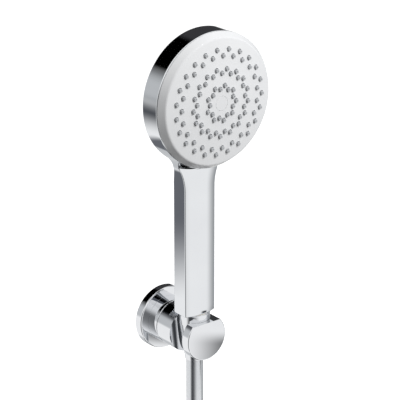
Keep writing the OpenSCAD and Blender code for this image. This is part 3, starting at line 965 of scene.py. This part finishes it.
@dataclass
class SprayHead:
    """White spray plate, its silicone nozzles in three zigzag rings, and the centre cap."""

    up: float = 194.3
    head_r: float = 52.0
    rim: float = 64.2
    lip: float = 0.25
    bevel_top: float = 70.4
    face_r: float = 48.0
    dome: float = 4.2
    plate_t: float = 2.4
    cap_r: float = 5.6
    nozzle_r: float = 1.9
    nozzle_taper: float = 0.6
    nozzle_out: float = 1.7
    jet_r: float = 0.3
    counts: tuple[int, ...] = (9, 17, 23)
    first_r: tuple[float, ...] = (13.5, 22.6, 35.3)
    second_r: tuple[float, ...] = (11.1, 25.6, 40.0)
    starts: tuple[float, ...] = (-2.4, 3.6, 7.2)
    sheet_r: float = 45.0
    skirt_r: float = 49.6
    skirt_bore_r: float = 47.6
    skirt_deep: float = 3.0
    hole_gap: float = 0.05
    mesh_step: float = 2.6
    cap_gap: float = 0.09
    cap_t: float = 1.6
    mat_gap: float = 0.06
    mat_t: float = 1.6
    mat_from: float = 7.7
    mat_to: float = 44.5
    nozzle_root: float = -3.4
    jet_floor: float = 0.2

    def dome_at(self, radius: float) -> float:
        """Distance of the domed face from the wall at a radius."""
        ball = (self.face_r**2 + self.dome**2) / (2 * self.dome)
        return self.bevel_top - ball + self.dome + math.sqrt(ball**2 - radius**2)

    def nozzles(self) -> list[tuple[float, float]]:
        """Centres of all nozzles, [across, up] from the middle of the face."""
        made = []
        for count, near, far, start in zip(self.counts, self.first_r, self.second_r, self.starts):
            for k in range(2 * count):
                made.append(polar(far if k % 2 else near, math.radians(start + k * 180 / count)))
        return made

    def build(self) -> None:
        """Build the plate, the nozzles and the cap."""
        self.plate()
        self.mat()
        cap = Shell("Centre_cap")
        face, edge = self.dome_at(0), self.cap_r - self.cap_gap
        outline = rounded([(0, face, 0), (edge, self.dome_at(self.cap_r), 0.12),
                           (edge, face - self.cap_t, 0.1), (0, face - self.cap_t, 0)])
        turned(cap, outline, (0, 0, self.up), Way.OUT, 64)
        settle(cap.make(WHITE_ABS), "handset", "face_white", "screw_cap")

    def plate(self) -> None:
        """Build the plate with a real hole for every nozzle and for the cap."""
        sides = FINE
        holes = [(x, z, self.nozzle_r + self.hole_gap, 20) for x, z in self.nozzles()]
        holes.append((0.0, 0.0, self.cap_r, 64))
        flat: list[Vector] = []
        loops: list[list[int]] = []

        def circle(x: float, z: float, radius: float, count: int) -> None:
            """Add a closed loop of points that the mesh keeps as edges."""
            start = len(flat)
            for k in range(count):
                u, v = polar(radius, TURN * k / count)
                flat.append(Vector((x + u, z + v)))
            loops.append(list(range(start, start + count)))

        circle(0, 0, self.sheet_r, sides)
        for hole in holes:
            circle(*hole)
        radius = 8.2
        while radius < self.sheet_r - 1.5:
            count = max(int(TURN * radius / self.mesh_step), 12)
            for k in range(count):
                place = Vector(polar(radius, TURN * (k + 0.5) / count))
                if all((place - Vector((x, z))).length > r + 0.7 for x, z, r, _ in holes):
                    flat.append(place)
            radius += self.mesh_step
        edges = [(loop[k], loop[(k + 1) % len(loop)]) for loop in loops for k in range(len(loop))]
        found, _, faces, origin, _, _ = delaunay_2d_cdt(flat, edges, [], 0, 1e-6)
        place_of = {old: new for new, olds in enumerate(origin) for old in olds}
        # a face with all its points on the rim of one hole lies in that hole
        rims = [{place_of[i] for i in loop} for loop in loops[1:]]
        kept = [face for face in faces if not any(rim.issuperset(face) for rim in rims)]
        plate = Shell("Face_plate")
        skins = []
        for depth in (0.0, self.plate_t):
            skins.append(plate.row([(p.x, self.dome_at(p.length) - depth, self.up + p.y) for p in found]))
            plate.faces += [[skins[-1][i] for i in face] for face in kept]
        for loop in loops[1:]:
            ring = [place_of[i] for i in loop]
            plate.bridge([skins[0][i] for i in ring], [skins[1][i] for i in ring], closed=True)
        outer = loops[0]
        top = [skins[0][place_of[i]] for i in outer]
        low = [skins[1][place_of[i]] for i in outer]
        seam, foot, edge = self.rim + self.lip, self.rim - self.skirt_deep, self.dome_at(self.sheet_r)
        profile = rounded([
            (self.sheet_r, edge, 0), (self.face_r + 0.3, self.bevel_top - 0.1, 2.6),
            (self.head_r, seam + 0.5, 0.35), (self.head_r - 0.5, seam, 0), (self.skirt_r, seam, 0),
            (self.skirt_r, foot, 0.2), (self.skirt_bore_r, foot, 0.2),
            (self.sheet_r + 1.5, self.rim + 1.5, 0.4), (self.sheet_r, edge - self.plate_t, 0),
        ], steps=6)
        rings = [top]
        for r, out in profile[1:-1]:
            ring = [polar(r, TURN * k / sides) for k in range(sides)]
            rings.append(plate.row([(x, out, self.up + z) for x, z in ring]))
        plate.skin([*rings, low], closed=True)
        settle(plate.make(WHITE_ABS, 34), "handset", "face_white", "face_plate")

    def mat(self) -> None:
        """Build the silicone mat behind the plate and its nozzles, each with its jet."""
        mat = Shell("Nozzle_mat")
        behind = self.plate_t + self.mat_gap
        steps = 10
        front = [self.mat_from + (self.mat_to - self.mat_from) * k / steps for k in range(steps + 1)]
        loop = [(r, self.dome_at(r) - behind) for r in front]
        loop += [(r, self.dome_at(r) - behind - self.mat_t) for r in reversed(front)]
        turned(mat, loop, (0, 0, self.up), Way.OUT, 96, closed=True)
        r, jet, tip = self.nozzle_r, self.jet_r, self.nozzle_out
        profile = rounded([
            (0, self.nozzle_root, 0), (r, self.nozzle_root, 0), (r - self.nozzle_taper, tip, 0.25),
            (jet + 0.12, tip, 0.12), (jet, tip - 0.25, 0), (jet - 0.1, self.jet_floor, 0),
            (0, self.jet_floor, 0),
        ], steps=3)
        for x, z in self.nozzles():
            turned(mat, profile, (x, self.dome_at(math.hypot(x, z)), self.up + z), Way.OUT, 20)
        settle(mat.make(GREY_SILICONE, 40), "handset", "silicone", "nozzle_mat")


# ---- Studio ----


@dataclass(frozen=True)
class Card:
    """One studio card that only shows in the chrome, seen from the shower.

    Args:
        name: Name of the card.
        turn: Range of directions round the vertical, in degrees from -Y towards +X.
        rise: Range of directions above the horizon, in degrees.
        tone: sRGB hex tone of the card.
        fade: Soft edge at the start and end of the turn, and at the foot and head, in degrees.
        centre: Point that the card stands round, in millimetres.
        far: Distance from that point in metres.
    """

    name: str
    turn: tuple[float, float]
    rise: tuple[float, float]
    tone: str
    fade: tuple[float, float, float, float]
    centre: Point = (0, 45, 80)
    far: float = 4.0


CARDS = (
    Card("Black_ceiling_flag", (128, 228), (12, 80), "000000", (12, 18, 19, 10)),
    Card("Dark_right_flag", (134, 168), (-4, 46), "3C3C3E", (3, 12, 4, 8), far=3.9),
    Card("Head_dark_card", (198, 250), (-43, 6), "56585D", (12, 14, 25, 26), (-30, 50, 194), 0.2),
    Card("Handle_dark_card", (186, 226), (-88, 8), "6E7076", (8, 5, 62, 14), (-12, 50, 112), 0.08),
    Card("Left_grey_wall", (196, 240), (-10, 30), "CBCDCF", (12, 10, 8, 6), far=4.2),
    Card("Right_low_wall", (140, 188), (-58, -22), "CCCED0", (8, 14, 12, 8), far=3.7),
    Card("Dark_stand", (-106, 4), (-60, 28), "46484B", (32, 64, 8, 26), far=3.6),
    Card("Right_grey_wall", (50, 134), (-60, 60), "A6A8AA", (36, 14, 10, 20), far=3.5),
    Card("Low_black_flag", (0, 360), (-90, -60), "0A0A0A", (1, 1, 1, 7), far=4.1),
    Card("Holder_shade", (33, 62), (-34, -22.8), "2C2E32", (13, 8, 3, 3), (0, 57.6, -2), 0.25),
)


@dataclass
class Studio:
    """Camera, floor, lights and the cards that shape the reflections."""

    place: tuple[float, float, float] = (-0.868686, -1.141994, 0.644733)
    target: tuple[float, float, float] = (0.0031, -0.045, 0.1094)
    lens: float = 178.69
    floor: float = -0.36
    floor_half: float = 30.0
    white: float = 1.03
    soft_from: tuple[float, float, float] = (0.8, 0.0, 0.6)
    soft: tuple[float, float] = (0.2, 0.8)
    key_place: tuple[float, float, float] = (0.5, -1.6, 1.4)
    key_target: tuple[float, float, float] = (0, -0.05, 0.15)
    key_size: float = 0.5
    key_watts: float = 27

    def camera(self) -> None:
        """Make the camera."""
        data = bpy.data.cameras.new("Camera")
        data.lens, data.sensor_width = self.lens, 36
        data.clip_start, data.clip_end = 0.05, 100
        camera = placed("Camera", data)
        camera.location = self.place
        look = Vector(self.target) - Vector(self.place)
        camera.rotation_euler = look.to_track_quat("-Z", "Y").to_euler()
        bpy.context.scene.camera = camera

    def build(self) -> None:
        """Make the floor, the lights, the world and the cards."""
        view = bpy.context.scene.view_settings
        view.view_transform, view.look, view.exposure, view.gamma = "Standard", "None", 0, 1
        self.world()
        self.ground()
        self.key()
        for card in CARDS:
            self.card(card)

    def world(self) -> None:
        """Show pure white in mirrors and behind the object, and light matt surfaces softly."""
        world = bpy.data.worlds.new("Studio")
        bpy.context.scene.world = world
        world.use_nodes = True
        tree = world.node_tree
        sky = tree.nodes["Background"]
        sky.inputs["Color"].default_value = (1, 1, 1, 1)
        # the light that reaches matt surfaces falls off towards the lower left
        place = add_node(tree, "ShaderNodeTexCoord")
        side = add_node(tree, "ShaderNodeVectorMath", {"operation": "DOT_PRODUCT"},
                        links={"Vector": place.outputs["Generated"]})
        side.inputs[1].default_value = self.soft_from
        low, high = self.soft
        soft = add_node(tree, "ShaderNodeMapRange", links={"Value": side.outputs["Value"]}, values={
            "From Min": -0.8, "From Max": 0.8, "To Min": low, "To Max": high})
        ray = add_node(tree, "ShaderNodeLightPath")
        level = add_node(tree, "ShaderNodeMapRange", values={"To Min": self.white},
                         links={"Value": ray.outputs["Is Diffuse Ray"], "To Max": soft.outputs["Result"]})
        tree.links.new(level.outputs["Result"], sky.inputs["Strength"])

    def ground(self) -> None:
        """Make the plain pale floor."""
        half = self.floor_half
        mesh = bpy.data.meshes.new("Floor")
        mesh.from_pydata([(-half, -half, 0), (half, -half, 0), (half, half, 0), (-half, half, 0)], [],
                         [(0, 1, 2, 3)])
        paint = bpy.data.materials.new("Pale_floor")
        paint.use_nodes = True
        shader = paint.node_tree.nodes["Principled BSDF"]
        shader.inputs["Base Color"].default_value = linear("F6F6F6")
        shader.inputs["Roughness"].default_value = 0.9
        shader.inputs["Specular IOR Level"].default_value = 0.1
        shader.inputs["Emission Color"].default_value = linear("FFFFFF")
        shader.inputs["Emission Strength"].default_value = 0.5
        mesh.materials.append(paint)
        floor = placed("Floor", mesh)
        floor.location.z = self.floor
        floor.visible_glossy = floor.visible_diffuse = False

    def key(self) -> None:
        """Add one soft light from the upper right, which gives the nozzles their shade."""
        data = bpy.data.lights.new("Key", "AREA")
        data.shape, data.size, data.energy = "DISK", self.key_size, self.key_watts
        light = placed("Key", data)
        light.location = self.key_place
        look = Vector(self.key_target) - light.location
        light.rotation_euler = look.to_track_quat("-Z", "Y").to_euler()
        light.visible_glossy = False

    def card(self, card: Card) -> None:
        """Make one card as a curved sheet round the shower.

        Args:
            card: The card.
        """
        across, up = 48, 24
        middle = Vector((card.centre[0], -card.centre[1], card.centre[2])) * MM
        points, spots = [], []
        for j in range(up + 1):
            for i in range(across + 1):
                u, v = i / across, j / up
                turn = math.radians(card.turn[0] + (card.turn[1] - card.turn[0]) * u)
                rise = math.radians(card.rise[0] + (card.rise[1] - card.rise[0]) * v)
                level, height = polar(card.far, rise)
                points.append(middle + Vector((level * math.sin(turn), -level * math.cos(turn), height)))
                spots.append((u, v))
        faces = [(j * (across + 1) + i, j * (across + 1) + i + 1, (j + 1) * (across + 1) + i + 1,
                  (j + 1) * (across + 1) + i) for j in range(up) for i in range(across)]
        mesh = bpy.data.meshes.new(card.name)
        mesh.from_pydata(points, [], faces)
        layer = mesh.uv_layers.new(name="Card")
        for loop in mesh.loops:
            layer.data[loop.index].uv = spots[loop.vertex_index]
        mesh.materials.append(self.card_paint(card))
        sheet = placed(card.name, mesh)
        sheet.visible_camera = sheet.visible_diffuse = sheet.visible_shadow = False

    def card_paint(self, card: Card) -> bpy.types.Material:
        """Paint a card in its tone with soft edges.

        Args:
            card: The card.

        Returns:
            Its material.
        """
        paint = bpy.data.materials.new(card.name)
        paint.use_nodes = True
        tree = paint.node_tree
        tree.nodes.clear()
        spot = add_node(tree, "ShaderNodeUVMap", {"uv_map": "Card"})
        parts = add_node(tree, "ShaderNodeSeparateXYZ", links={"Vector": spot.outputs["UV"]})
        wide, tall = card.turn[1] - card.turn[0], card.rise[1] - card.rise[0]
        left, right, foot, head = card.fade
        shade: bpy.types.NodeSocket | None = None
        for axis, start, stop in (("X", 0, left / wide), ("X", 1, 1 - right / wide),
                                  ("Y", 0, foot / tall), ("Y", 1, 1 - head / tall)):
            ramp = add_node(tree, "ShaderNodeMapRange", {"interpolation_type": "SMOOTHSTEP"},
                            {"From Min": start, "From Max": stop}, {"Value": parts.outputs[axis]})
            if shade is None:
                shade = ramp.outputs["Result"]
                continue
            both = add_node(tree, "ShaderNodeMath", {"operation": "MULTIPLY"})
            tree.links.new(shade, both.inputs[0])
            tree.links.new(ramp.outputs["Result"], both.inputs[1])
            shade = both.outputs["Value"]
        glow = add_node(tree, "ShaderNodeEmission", values={"Color": linear(card.tone)})
        clear = add_node(tree, "ShaderNodeBsdfTransparent")
        mix = add_node(tree, "ShaderNodeMixShader", links={"Fac": shade})
        tree.links.new(clear.outputs["BSDF"], mix.inputs[1])
        tree.links.new(glow.outputs["Emission"], mix.inputs[2])
        out = add_node(tree, "ShaderNodeOutputMaterial")
        tree.links.new(mix.outputs["Shader"], out.inputs["Surface"])
        return paint


def dress_nodes(nodes: dict[str, bpy.types.Object]) -> None:
    """Give every CAD node that keeps its own mesh the material of the real part.

    Args:
        nodes: CAD objects by node name.
    """
    for finish, names in NODE_FINISHES.items():
        material = finish.material()
        for name in names:
            node = nodes[name]
            if not node.material_slots:
                node.data.materials.append(material)
            for slot in node.material_slots:
                slot.material = material
            LOG.info("%s in %s", name, finish.name)


def main() -> None:
    """Build the hand shower around the frame."""
    logging.basicConfig(level=logging.INFO, format="%(name)s: %(message)s")
    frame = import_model()
    studio = Studio()
    studio.camera()
    Hose().build()
    WallBracket().build()
    Holder().build()
    HoseNuts().build()
    Handset().build()
    SprayHead().build()
    dress_nodes(frame["nodes"])
    studio.build()


if __name__ == "__main__":
    main()
